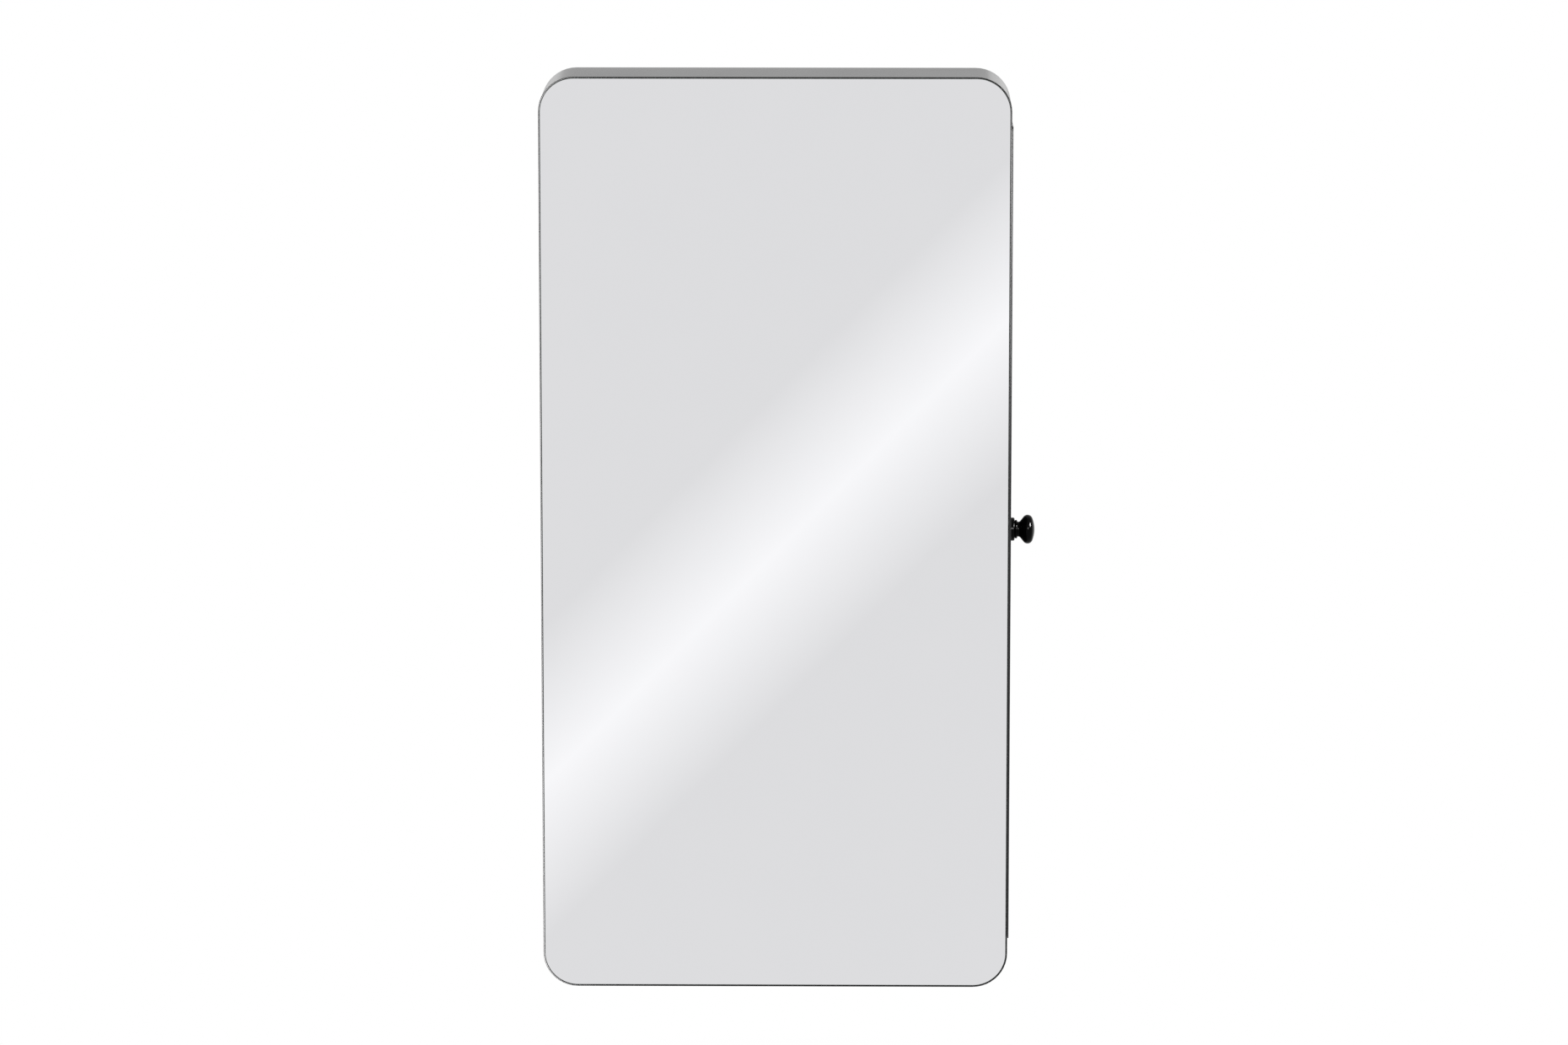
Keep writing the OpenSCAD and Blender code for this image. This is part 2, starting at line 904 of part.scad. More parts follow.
module rear_upright() {
    color(rack_coat)
        difference() {
            upright(rack_x0, 1);
            for (s = [-1, 1])
                bar_x(rack_x0 - over, mid_y, s * strike_rivet_z, catch_hole_r, rack_t + 2 * over);
        }
}

// A shelf tray with folded lips and relieved corners, its underside at z
module tray(z) {
    relief = 2 * rack_t;
    difference() {
        block([bay_x0, tray_front_y, z], [bay_x1, tray_back_y, z + lip_h]);
        block(
            [bay_x0 + rack_t, tray_front_y + rack_t, z + rack_t],
            [bay_x1 - rack_t, tray_back_y - rack_t, z + 2 * lip_h]
        );
        for (x = [bay_x0, bay_x1], y = [tray_front_y, tray_back_y])
            block([x - relief, y - relief, z + rack_t], [x + relief, y + relief, z + 2 * lip_h]);
    }
}

// The countersink of one slide rivet, or with no gap the flush head that sits in it
module rivet_cone(x, gap, beyond) {
    h = rack_t + beyond;
    translate([x, mid_y, -rack_half])
        cylinder(r1 = screw_r + gap, r2 = screw_r + gap + h, h = h);
}

module bottom_tray() {
    color(rack_coat)
        difference() {
            tray(-rack_half);
            for (fix = rack_fixings) {
                bar_z(fix, mid_y, -rack_half - over, hole_r, rack_t + 2 * over);
                rivet_cone(fix, hole_gap, over);
            }
        }
}

// The top plate is the same folding, upside down
module top_tray() {
    mirror([0, 0, 1])
        bottom_tray();
}

module shelf(i) {
    color(rack_coat)
        tray(i * bay_pitch - rack_half);
}

// Steel rods that keep things on the shelves, front and back
module guard_rods() {
    color(bright_zinc)
        for (i = [0:bays - 1], y = rod_ys)
            bar_x(bay_x0, y, i * bay_pitch - rack_half + rack_t + rod_rise, rod_d / 2, bay_x1 - bay_x0);
}

// Rivets that hold the inner members to the top and bottom trays, flush with their floors
module slide_rivets() {
    color(bright_zinc)
        both_ends()
            for (fix = rack_fixings) {
                bar_z(fix, mid_y, -rack_half - slide_t - rivet_tail_h, rivet_tail_r, rivet_tail_h);
                bar_z(fix, mid_y, -rack_half - slide_t, screw_r, slide_t + rack_t);
                rivet_cone(fix, 0, 0);
            }
}

// The steel plate on the rack that the magnet pulls on
module strike_plate() {
    color(bright_zinc)
        difference() {
            block(
                [strike_x, mid_y - catch_d / 2, -strike_l / 2],
                [rack_x0, mid_y + catch_d / 2, strike_l / 2]
            );
            for (s = [-1, 1])
                bar_x(strike_x - over, mid_y, s * strike_rivet_z, catch_hole_r, strike_t + 2 * over);
        }
}

// Flush rivets through the strike and the rear upright
module strike_rivets() {
    color(bright_zinc)
        for (s = [-1, 1]) {
            bar_x(strike_x, mid_y, s * strike_rivet_z, catch_screw_r, strike_t + rack_t);
            bar_x(bay_x0, mid_y, s * strike_rivet_z, 2 * catch_screw_r, strike_head_h);
        }
}

module lower_carrier() {
    color(inside_coat) slide_carrier();
}

module upper_carrier() {
    mirror([0, 0, 1]) lower_carrier();
}

module lower_slide_outer() {
    color(bright_zinc) slide_outer();
}

module upper_slide_outer() {
    mirror([0, 0, 1]) lower_slide_outer();
}

module lower_slide_middle() {
    color(bright_zinc) slide_middle();
}

module upper_slide_middle() {
    mirror([0, 0, 1]) lower_slide_middle();
}

module lower_slide_inner() {
    color(bright_zinc) slide_inner();
}

module upper_slide_inner() {
    mirror([0, 0, 1]) lower_slide_inner();
}

frame_band();
mirror_plate();
mirror_glass();
mirror_tape();
back_panel();
back_tabs();
back_screws();
keyhole_plates();
upper_carrier();
lower_carrier();
upper_slide_outer();
lower_slide_outer();
slide_screws();
slide_nuts();
catch_plate();
catch_housing();
catch_magnet();
catch_poles();
catch_screws();
stop_buffers();
upper_slide_middle();
lower_slide_middle();
outer_ball_cages();
outer_balls();
inner_ball_cages();
inner_balls();
side_panel();
panel_studs();
panel_nuts();
knob();
knob_screw();
front_upright();
rear_upright();
top_tray();
bottom_tray();
for (i = [1:bays - 1])
    shelf(i);
guard_rods();
upper_slide_inner();
lower_slide_inner();
slide_rivets();
strike_plate();
strike_rivets();
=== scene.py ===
import json
import math

import bmesh
import bpy
from mathutils import Matrix, Vector


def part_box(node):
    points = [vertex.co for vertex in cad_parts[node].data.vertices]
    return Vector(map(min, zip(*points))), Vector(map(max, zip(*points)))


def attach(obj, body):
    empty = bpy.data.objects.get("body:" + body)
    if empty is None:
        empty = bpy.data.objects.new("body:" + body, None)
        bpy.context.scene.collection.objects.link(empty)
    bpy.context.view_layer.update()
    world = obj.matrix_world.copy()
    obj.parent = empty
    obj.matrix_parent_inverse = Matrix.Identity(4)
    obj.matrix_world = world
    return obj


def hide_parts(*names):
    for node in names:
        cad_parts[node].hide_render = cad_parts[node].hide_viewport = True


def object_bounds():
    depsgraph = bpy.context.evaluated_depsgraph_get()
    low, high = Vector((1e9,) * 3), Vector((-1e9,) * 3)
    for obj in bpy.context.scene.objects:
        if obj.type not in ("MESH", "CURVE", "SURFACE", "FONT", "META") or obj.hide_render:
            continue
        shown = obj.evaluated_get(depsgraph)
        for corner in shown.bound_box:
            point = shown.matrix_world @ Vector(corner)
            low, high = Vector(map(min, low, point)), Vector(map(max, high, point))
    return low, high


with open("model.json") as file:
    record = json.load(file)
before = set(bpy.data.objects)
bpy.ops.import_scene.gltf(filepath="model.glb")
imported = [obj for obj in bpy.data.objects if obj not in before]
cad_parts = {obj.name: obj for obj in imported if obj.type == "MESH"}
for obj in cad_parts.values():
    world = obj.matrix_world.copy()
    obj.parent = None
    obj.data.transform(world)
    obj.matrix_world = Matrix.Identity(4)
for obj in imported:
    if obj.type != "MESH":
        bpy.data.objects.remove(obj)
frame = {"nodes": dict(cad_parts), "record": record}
nodes = frame["nodes"]
cad_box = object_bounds()
low, high = Vector(cad_box[0]), Vector(cad_box[1])

# Camera
# A long lens seven metres in front of the cabinet and a little above it, fitted to the edges
# of the front and of the back in the photograph.

camera_place = (0.0936, -7.1363, 1.3093)
degrees_down = 10.3955
degrees_left = 0.6828
camera_data = bpy.data.cameras.new("camera")
camera_data.lens = 151.93
camera_data.sensor_width = 36
camera_data.clip_end = 60
camera = bpy.data.objects.new("camera", camera_data)
camera.location = camera_place
camera.rotation_euler = (math.radians(90 - degrees_down), 0, math.radians(degrees_left))
bpy.context.scene.collection.objects.link(camera)
bpy.context.scene.camera = camera

# Studio
# A pale floor well below the wall-hung cabinet, a white surrounding, and softboxes in front and
# behind. Only reflections see two cards: a grey one behind the cabinet, and the soft strip that
# crosses the mirror. The cards for the rims and for the knob stand in those pieces' sections.

bpy.context.scene.view_settings.view_transform = "Standard"
white = (1, 1, 1, 1)
room_light = 0.5
mirrored_light = 0.9


def put(tree, kind, inputs=None, **settings):
    """Adds a shader node; each of its inputs takes a value or another node's output."""
    node = tree.nodes.new(kind)
    for name, value in settings.items():
        setattr(node, name, value)
    for name, value in (inputs or {}).items():
        if isinstance(value, bpy.types.NodeSocket):
            tree.links.new(value, node.inputs[name])
        else:
            node.inputs[name].default_value = value
    return node


def calculate(tree, operation, *values, **settings):
    """The result of arithmetic on numbers and other nodes' outputs."""
    inputs = dict(enumerate(values))
    return put(tree, "ShaderNodeMath", inputs, operation=operation, **settings).outputs[0]


def spread(tree, value, given_range, wanted_range):
    """Maps a value that runs over one range to run over another."""
    return put(tree, "ShaderNodeMapRange", {
        "Value": value, "From Min": given_range[0], "From Max": given_range[1],
        "To Min": wanted_range[0], "To Max": wanted_range[1],
    }).outputs[0]


def reflected(tree, rays):
    """1 for rays off a glossy surface or through glass, else 0."""
    glossy, through = rays.outputs["Is Glossy Ray"], rays.outputs["Is Transmission Ray"]
    return calculate(tree, "ADD", glossy, through, use_clamp=True)


def mix(tree, share, first, second):
    """The first shader where the share is 0, and the second where it is 1."""
    return put(tree, "ShaderNodeMixShader", {0: share, 1: first, 2: second}).outputs[0]


def build_surrounding():
    world = bpy.data.worlds.new("white studio")
    bpy.context.scene.world = world
    world.use_nodes = True
    tree = world.node_tree
    tree.nodes.clear()
    rays = put(tree, "ShaderNodeLightPath")
    room, mirrored, seen = [
        put(tree, "ShaderNodeBackground", {"Color": white, "Strength": strength}).outputs[0]
        for strength in (room_light, mirrored_light, 1)
    ]
    unseen = mix(tree, reflected(tree, rays), room, mirrored)
    whole = mix(tree, rays.outputs["Is Camera Ray"], unseen, seen)
    put(tree, "ShaderNodeOutputWorld", {"Surface": whole})


def make_object(name, mesh, materials):
    """Puts a mesh that is in place into the scene."""
    data = bpy.data.meshes.new(name)
    mesh.to_mesh(data)
    mesh.free()
    for material in materials:
        data.materials.append(material)
    made = bpy.data.objects.new(name, data)
    bpy.context.scene.collection.objects.link(made)
    return made


def bare_material(name):
    """A material without nodes, and its node tree."""
    material = bpy.data.materials.new(name)
    material.use_nodes = True
    material.node_tree.nodes.clear()
    return material, material.node_tree


def build_floor():
    """Matt and pale: it shows the shadow below the cabinet, and further out it is pure white."""
    drop = 0.26
    half_side = 14
    shadow_reach = 0.3
    white_from = 0.7
    shadow_white = 0.85
    matt_grey = (0.86, 0.86, 0.86, 1)
    material, tree = bare_material("pale floor")
    rays = put(tree, "ShaderNodeLightPath")
    matt = put(tree, "ShaderNodeBsdfDiffuse", {"Color": matt_grey}).outputs[0]
    mirrored, seen = [
        put(tree, "ShaderNodeEmission", {"Strength": strength}).outputs[0]
        for strength in (mirrored_light, 1)
    ]
    place = put(tree, "ShaderNodeTexCoord").outputs["Object"]
    foot = (0, 0, low.z - drop)
    away = put(tree, "ShaderNodeVectorMath", {0: place, 1: foot}, operation="DISTANCE")
    share = spread(tree, away.outputs["Value"], (shadow_reach, white_from), (shadow_white, 1))
    lifted = mix(tree, share, matt, seen)
    unseen = mix(tree, reflected(tree, rays), matt, mirrored)
    whole = mix(tree, rays.outputs["Is Camera Ray"], unseen, lifted)
    put(tree, "ShaderNodeOutputMaterial", {"Surface": whole})
    mesh = bmesh.new()
    bmesh.ops.create_grid(mesh, x_segments=1, y_segments=1, size=half_side)
    bmesh.ops.translate(mesh, verts=mesh.verts, vec=foot)
    make_object("floor", mesh, [material])


def softbox(name, place, side, watts):
    """A square soft light that points at the cabinet's middle and isn't mirrored in it."""
    data = bpy.data.lights.new(name, "AREA")
    data.size = side
    data.energy = watts
    lamp = bpy.data.objects.new(name, data)
    lamp.location = place
    lamp.rotation_euler = (-Vector(place)).to_track_quat("-Z", "Y").to_euler()
    lamp.visible_glossy = False
    bpy.context.scene.collection.objects.link(lamp)


def reflection_card(name, centre, towards, width, height):
    """A flat card that only glossy surfaces see, with its node tree and its emission shader."""
    material, tree = bare_material(name)
    glow = put(tree, "ShaderNodeEmission")
    put(tree, "ShaderNodeOutputMaterial", {"Surface": glow.outputs[0]})
    turn = (Vector(towards) - Vector(centre)).to_track_quat("Z", "Y").to_matrix().to_4x4()
    mesh = bmesh.new()
    bmesh.ops.create_grid(mesh, x_segments=1, y_segments=1, size=0.5)
    bmesh.ops.scale(mesh, vec=(width, height, 1), verts=mesh.verts)
    bmesh.ops.transform(mesh, matrix=Matrix.Translation(centre) @ turn, verts=mesh.verts)
    card = make_object(name, mesh, [material])
    card.visible_camera = False
    card.visible_diffuse = False
    card.visible_transmission = False
    card.visible_shadow = False
    return card, tree, glow


def build_backdrop_card():
    """Grey behind the cabinet, as far as the flat top of the band mirrors it."""
    middle_x = -0.04
    behind = 3
    centre_z = 1
    width, height = 1.1, 4
    grey = 0.64
    _, _, glow = reflection_card(
        "backdrop card", (middle_x, behind, centre_z), (middle_x, 0, centre_z), width, height
    )
    glow.inputs["Strength"].default_value = grey


def let_through(tree, glow):
    """Makes a card clear, so that its glow is added to what lies behind it."""
    clear = put(tree, "ShaderNodeBsdfTransparent")
    both = put(tree, "ShaderNodeAddShader", {0: glow.outputs[0], 1: clear.outputs[0]})
    tree.links.new(both.outputs[0], tree.nodes["Material Output"].inputs["Surface"])


def build_strip_card():
    """The soft strip: brightest along z = slope * x + rise, fading to both sides and at its ends."""
    distance = 0.8
    centre_z = -0.13
    slope = 1.02
    rise = -0.141
    half_width = 0.193
    peak = 0.27
    full_width, full_height = 0.64, 1.24
    faded_width, faded_height = 1.0, 1.6
    _, tree, glow = reflection_card(
        "strip card", (0, -distance, centre_z), (0, 0, centre_z), faded_width, faded_height
    )
    place = put(tree, "ShaderNodeTexCoord").outputs["Object"]
    across = put(tree, "ShaderNodeVectorMath", {0: place, 1: (-slope, 0, 1)}, operation="DOT_PRODUCT")
    away = calculate(tree, "ABSOLUTE", calculate(tree, "SUBTRACT", across.outputs["Value"], rise))
    strength = spread(tree, away, (0, half_width), (peak, 0))
    ends = put(tree, "ShaderNodeVectorMath", {0: place, 1: (0, 0, centre_z)}, operation="SUBTRACT")
    reach = put(tree, "ShaderNodeVectorMath", {0: ends.outputs[0]}, operation="ABSOLUTE")
    sides = put(tree, "ShaderNodeSeparateXYZ", {0: reach.outputs[0]})
    for axis, full, faded in (("X", full_width, faded_width), ("Z", full_height, faded_height)):
        end = spread(tree, sides.outputs[axis], (full / 2, faded / 2), (1, 0))
        strength = calculate(tree, "MULTIPLY", strength, end)
    tree.links.new(strength, glow.inputs["Strength"])
    let_through(tree, glow)


build_surrounding()
build_floor()
softbox("key softbox", (-2.0, -3.2, 2.6), side=1.8, watts=75)
softbox("fill softbox", (2.6, -2.6, 1.4), side=1.6, watts=40)
softbox("rear softbox", (-1.6, 3.2, 2.2), side=1.8, watts=60)
build_backdrop_card()
build_strip_card()

# Steel band
# The body of the cabinet is one strip of 1.2 mm steel, bent round the four corners, welded and
# coated in satin black. The rack slides out through the long opening in its right side.

band_corner = 0.038
coat_black = (0.010, 0.010, 0.011, 1)
coat_black_worn = (0.015, 0.015, 0.016, 1)
coat_edge = 0.0003
front_chamfer = 0.0005
touching = 0.000001
micron = 0.000001
flat_degrees = 0.5
smooth_degrees = 32
square_degrees = 50

body_of = {
    node: body
    for body, members in frame["record"]["behaviour"]["bodies"].items()
    for node in members
}


def new_piece(name, mesh, materials, node):
    """Makes an object of a mesh, smooth except at its edges, that stands for a CAD node."""
    piece = make_object(name, mesh, materials)
    piece.data.shade_smooth()
    piece.data.set_sharp_from_angle(angle=math.radians(smooth_degrees))
    weighted = piece.modifiers.new("flat faces stay flat", "WEIGHTED_NORMAL")
    weighted.keep_sharp = True
    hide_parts(node)
    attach(piece, body_of[node])
    return piece


def finish(node, material):
    """Gives a CAD node that keeps its own shape its material."""
    nodes[node].data.materials[0] = material


def merged(node):
    """A copy of a CAD piece whose faces are whole."""
    mesh = bmesh.new()
    mesh.from_mesh(nodes[node].data)
    bmesh.ops.remove_doubles(mesh, verts=mesh.verts, dist=touching)
    bmesh.ops.dissolve_limit(
        mesh, angle_limit=math.radians(flat_degrees), verts=mesh.verts, edges=mesh.edges
    )
    return mesh


def is_square(edge):
    """Whether two faces meet at an edge, and steeply."""
    return edge.is_manifold and edge.calc_face_angle() > math.radians(square_degrees)


def soften(mesh, width):
    """Rounds the square edges of a mesh."""
    sharp = [e for e in mesh.edges if is_square(e)]
    bmesh.ops.bevel(
        mesh, geom=sharp, offset=width, offset_type="OFFSET", affect="EDGES",
        segments=2, profile=0.5, material=-1, clamp_overlap=True,
    )


def chamfer_edges(mesh, chosen, width):
    """Cuts one flat along each of the edges that are chosen."""
    bmesh.ops.bevel(
        mesh, geom=chosen, offset=width, offset_type="OFFSET", affect="EDGES",
        segments=1, profile=0.5, material=-1,
    )


def softened(node, width):
    """A copy of a CAD piece with its square edges rounded."""
    mesh = merged(node)
    soften(mesh, width)
    return mesh


def effect(name, inputs):
    """An empty shader node group: named inputs with their values, and a surface's outputs."""
    group = bpy.data.node_groups.new(name, "ShaderNodeTree")
    for socket, (kind, value) in inputs.items():
        made = group.interface.new_socket(
            name=socket, in_out="INPUT", socket_type="NodeSocket" + kind
        )
        made.default_value = value
    for socket, kind in (("Colour", "Color"), ("Roughness", "Float"), ("Height", "Float")):
        group.interface.new_socket(name=socket, in_out="OUTPUT", socket_type="NodeSocket" + kind)
    return group, put(group, "NodeGroupInput"), put(group, "NodeGroupOutput")


surface_inputs = {
    "Colour": ("Color", (0.5, 0.5, 0.5, 1)),
    "Second Colour": ("Color", (0.5, 0.5, 0.5, 1)),
    "Roughness": ("Float", 0.3),
    "Second Roughness": ("Float", 0.3),
    "Scale": ("Float", 100.0),
}


def noise(tree, vector, scale, detail):
    made = put(tree, "ShaderNodeTexNoise", {"Vector": vector, "Scale": scale, "Detail": detail})
    return made.outputs["Fac"]


def end_effect(group, given, result, shade, wear, wear_range, height):
    """Ends an effect: the shade mixes its two colours, and the wear its two roughnesses."""
    colours = {6: given.outputs["Colour"], 7: given.outputs["Second Colour"]}
    colour = put(group, "ShaderNodeMix", {0: shade, **colours}, data_type="RGBA").outputs[2]
    gloss = spread(
        group, wear, wear_range, (given.outputs["Roughness"], given.outputs["Second Roughness"])
    )
    for name, value in (("Colour", colour), ("Roughness", gloss), ("Height", height)):
        group.links.new(value, result.inputs[name])
    return group


def build_coat_effect():
    """Powder coat: a slow drift in tone and gloss, orange peel, and a finer grain over it."""
    grain_share = 0.15
    group, given, result = effect("powder coat", surface_inputs)
    place = put(group, "ShaderNodeTexCoord").outputs["Object"]
    drift = spread(group, noise(group, place, scale=11, detail=4), (0.3, 0.7), (0, 1))
    peel = noise(group, place, scale=given.outputs["Scale"], detail=2)
    grain = noise(group, place, scale=2600, detail=1)
    height = calculate(group, "MULTIPLY_ADD", grain, grain_share, peel)
    return end_effect(group, given, result, drift, drift, (0, 1), height)


def surface_material(name, group, values, relief, shader_values):
    """A material whose colour, gloss and relief come from an effect; relief is in metres."""
    material, tree = bare_material(name)
    pattern = put(tree, "ShaderNodeGroup", values, node_tree=group)
    bump = put(tree, "ShaderNodeBump", {"Height": pattern.outputs["Height"], "Distance": relief})
    shader = put(tree, "ShaderNodeBsdfPrincipled", {
        "Base Color": pattern.outputs["Colour"],
        "Roughness": pattern.outputs["Roughness"],
        "Normal": bump.outputs[0],
        **shader_values,
    })
    put(tree, "ShaderNodeOutputMaterial", {"Surface": shader.outputs[0]})
    return material


coat_effect = build_coat_effect()
band_coat = surface_material("black band coat", coat_effect, {
    "Colour": coat_black, "Second Colour": coat_black_worn,
    "Roughness": 0.12, "Second Roughness": 0.16, "Scale": 420,
}, relief=3 * micron, shader_values={"IOR": 1.5, "Specular IOR Level": 0.35})


def outward(edge):
    """The direction from the cabinet's middle line out to an edge."""
    return ((edge.verts[0].co + edge.verts[1].co) * Vector((1, 0, 1))).normalized()


def build_band():
    """The band, with a small flat chamfer round the outside of its front edge."""
    mesh = merged("frame_band")
    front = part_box("frame_band")[0].y
    rim = [
        e for e in mesh.edges
        if all(abs(v.co.y - front) < touching for v in e.verts)
        and any(f.normal.dot(outward(e)) > 0.1 for f in e.link_faces)
    ]
    chamfer_edges(mesh, rim, front_chamfer)
    soften(mesh, coat_edge)
    return new_piece("steel_band", mesh, [band_coat], "frame_band")


steel_band = build_band()

# Mirror plate
# A folded steel plate, spot-welded inside the band, gives the pane a flat bed all over.
# It is coated with the band and shows only through the side opening.

finish("mirror_plate", band_coat)

# Mirror
# A pane of 4 mm float glass, silvered on its back, with a ground edge. A small frosted arris
# runs all round its front, and the silver is sealed behind with grey paint.

arris = 0.0005
back_arris = 0.0003
silver = (0.803, 0.803, 0.819, 1)
silver_far = (0.797, 0.798, 0.815, 1)
arris_grey = (0.24, 0.26, 0.25, 1)
arris_grey_dark = (0.20, 0.22, 0.21, 1)
edge_green = (0.16, 0.26, 0.23, 1)
edge_green_dark = (0.10, 0.18, 0.16, 1)
backing_grey = (0.20, 0.21, 0.22, 1)
backing_grey_dark = (0.15, 0.16, 0.17, 1)


def facing_sheet(box_low, box_high, radius):
    """A rectangle with round corners that faces forwards, in the back plane of a box."""
    mesh = bmesh.new()
    centre = (box_low + box_high) / 2
    size = box_high - box_low
    bmesh.ops.create_grid(mesh, x_segments=1, y_segments=1, size=0.5)
    bmesh.ops.rotate(mesh, matrix=Matrix.Rotation(math.radians(90), 3, "X"), verts=mesh.verts)
    bmesh.ops.scale(mesh, vec=(size.x, 1, size.z), verts=mesh.verts)
    bmesh.ops.translate(mesh, vec=(centre.x, box_high.y, centre.z), verts=mesh.verts)
    bmesh.ops.bevel(
        mesh, geom=mesh.verts[:], offset=radius, offset_type="OFFSET", affect="VERTICES",
        segments=24, profile=0.5, material=-1,
    )
    return mesh


def grind_arris(mesh, y, width):
    """Takes the sharpness off the outline of a pane's front or back face."""
    rim = [
        e for e in mesh.edges
        if is_square(e) and all(abs(v.co.y - y) < touching for v in e.verts)
    ]
    chamfer_edges(mesh, rim, width)


def vertices(made):
    """The vertices among what an operator made."""
    return [g for g in made if isinstance(g, bmesh.types.BMVert)]


def build_mirror():
    box_low, box_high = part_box("mirror_glass")
    gap = box_low.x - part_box("frame_band")[0].x
    mesh = facing_sheet(box_low, box_high, band_corner - gap)
    grown = bmesh.ops.extrude_face_region(mesh, geom=mesh.faces[:])
    front = vertices(grown["geom"])
    bmesh.ops.translate(mesh, vec=(0, box_low.y - box_high.y, 0), verts=front)
    bmesh.ops.recalc_face_normals(mesh, faces=mesh.faces)
    grind_arris(mesh, box_low.y, arris)
    grind_arris(mesh, box_high.y, back_arris)
    # The front, its arris, the edge and the back take the four materials in this order.
    for face in mesh.faces:
        face.material_index = sum(face.normal.y > slant for slant in (-0.9, -0.3, 0.9))
    plain = {"IOR": 1.5}
    metal = {"IOR": 1.5, "Metallic": 1.0}
    new_piece("mirror_pane", mesh, [
        surface_material("silvered glass", coat_effect, {
            "Colour": silver, "Second Colour": silver_far,
            "Roughness": 0.0, "Second Roughness": 0.012, "Scale": 3,
        }, relief=0, shader_values=metal),
        surface_material("frosted arris", coat_effect, {
            "Colour": arris_grey, "Second Colour": arris_grey_dark,
            "Roughness": 0.35, "Second Roughness": 0.45, "Scale": 900,
        }, relief=2 * micron, shader_values=plain),
        surface_material("ground glass edge", coat_effect, {
            "Colour": edge_green, "Second Colour": edge_green_dark,
            "Roughness": 0.22, "Second Roughness": 0.34, "Scale": 900,
        }, relief=6 * micron, shader_values=plain),
        surface_material("backing paint", coat_effect, {
            "Colour": backing_grey, "Second Colour": backing_grey_dark,
            "Roughness": 0.5, "Second Roughness": 0.65, "Scale": 300,
        }, relief=10 * micron, shader_values=plain),
    ], "mirror_glass")


build_mirror()

# Foam tape
# Five strips of white closed-cell foam with adhesive on both faces hold the mirror. The foam
# is full of fine pores and takes up the unevenness of the plate.

foam_white = (0.80, 0.80, 0.76, 1)
foam_shade = (0.66, 0.66, 0.61, 1)


def build_pore_effect():
    """Foam, rubber or sintered powder: round pores of one size over slow patches."""
    group, given, result = effect("pores", surface_inputs)
    place = put(group, "ShaderNodeTexCoord").outputs["Object"]
    cells = put(group, "ShaderNodeTexVoronoi", {"Vector": place, "Scale": given.outputs["Scale"]})
    pores = spread(group, cells.outputs["Distance"], (0.1, 0.6), (0, 1))
    patches = spread(group, noise(group, place, scale=30, detail=3), (0.3, 0.7), (0, 1))
    shade = calculate(group, "MULTIPLY", pores, patches)
    return end_effect(group, given, result, shade, shade, (0, 1), pores)


pore_effect = build_pore_effect()
finish("mirror_tape", surface_material("white foam", pore_effect, {
    "Colour": foam_white, "Second Colour": foam_shade,
    "Roughness": 0.8, "Second Roughness": 0.95, "Scale": 1800,
}, relief=100 * micron, shader_values={"IOR": 1.45}))

# Back panel
# A flush sheet of 1.2 mm steel with four keyholes, coated with the band. It lies on ten small
# angle tabs welded inside the band, and each is fixed with one countersunk screw.

finish("back_tabs", band_coat)
new_piece("back_sheet", softened("back_panel", width=coat_edge / 2), [band_coat], "back_panel")

# Keyhole plates
# Doubler plates of 2 mm zinc-plated steel, spot-welded behind the keyholes, carry the weight
# on the heads of the wall screws. Their edges are sheared, and their zinc is left bare.

zinc_pale = (0.66, 0.67, 0.69, 1)
zinc_dull = (0.50, 0.51, 0.54, 1)
all_round = (1, 1, 1)
along_x = (0.02, 1, 1)


def build_zinc_effect():
    """Zinc plate on rolled steel: cloudy patches, with fine rolling lines along one axis."""
    inputs = {**surface_inputs, "Grain": ("Vector", all_round)}
    group, given, result = effect("zinc plate", inputs)
    place = put(group, "ShaderNodeTexCoord").outputs["Object"]
    drawn = put(
        group, "ShaderNodeVectorMath", {0: place, 1: given.outputs["Grain"]}, operation="MULTIPLY"
    ).outputs[0]
    lines = noise(group, drawn, scale=given.outputs["Scale"], detail=3)
    patches = spread(group, noise(group, place, scale=45, detail=5), (0.35, 0.65), (0, 1))
    shade = spread(group, calculate(group, "MULTIPLY", lines, patches), (0, 0.6), (0, 1))
    return end_effect(group, given, result, shade, lines, (0.3, 0.7), lines)


zinc_effect = build_zinc_effect()


def zinc_material(name, grain, roughness, relief):
    return surface_material(name, zinc_effect, {
        "Colour": zinc_pale, "Second Colour": zinc_dull, "Grain": grain,
        "Roughness": roughness[0], "Second Roughness": roughness[1], "Scale": 900,
    }, relief, {"IOR": 1.5, "Metallic": 1.0})


sheet_zinc = zinc_material("zinc sheet", all_round, roughness=(0.34, 0.48), relief=6 * micron)
new_piece("doubler_plates", softened("keyhole_plates", width=0.0002), [sheet_zinc], "keyhole_plates")

# Back screws
# Ten M4 countersunk machine screws with a cross recess, blackened to match the panel. Their
# heads finish flush with it.

m4_radius = 0.002
cross_width = 0.0012
blackened = surface_material("blackened steel", coat_effect, {
    "Colour": (0.022, 0.022, 0.024, 1), "Second Colour": (0.035, 0.034, 0.034, 1),
    "Roughness": 0.3, "Second Roughness": 0.42, "Scale": 1500,
}, relief=6 * micron, shader_values={"IOR": 1.5, "Metallic": 1.0})


def edges(made):
    """The edges among what an operator made."""
    return [g for g in made if isinstance(g, bmesh.types.BMEdge)]


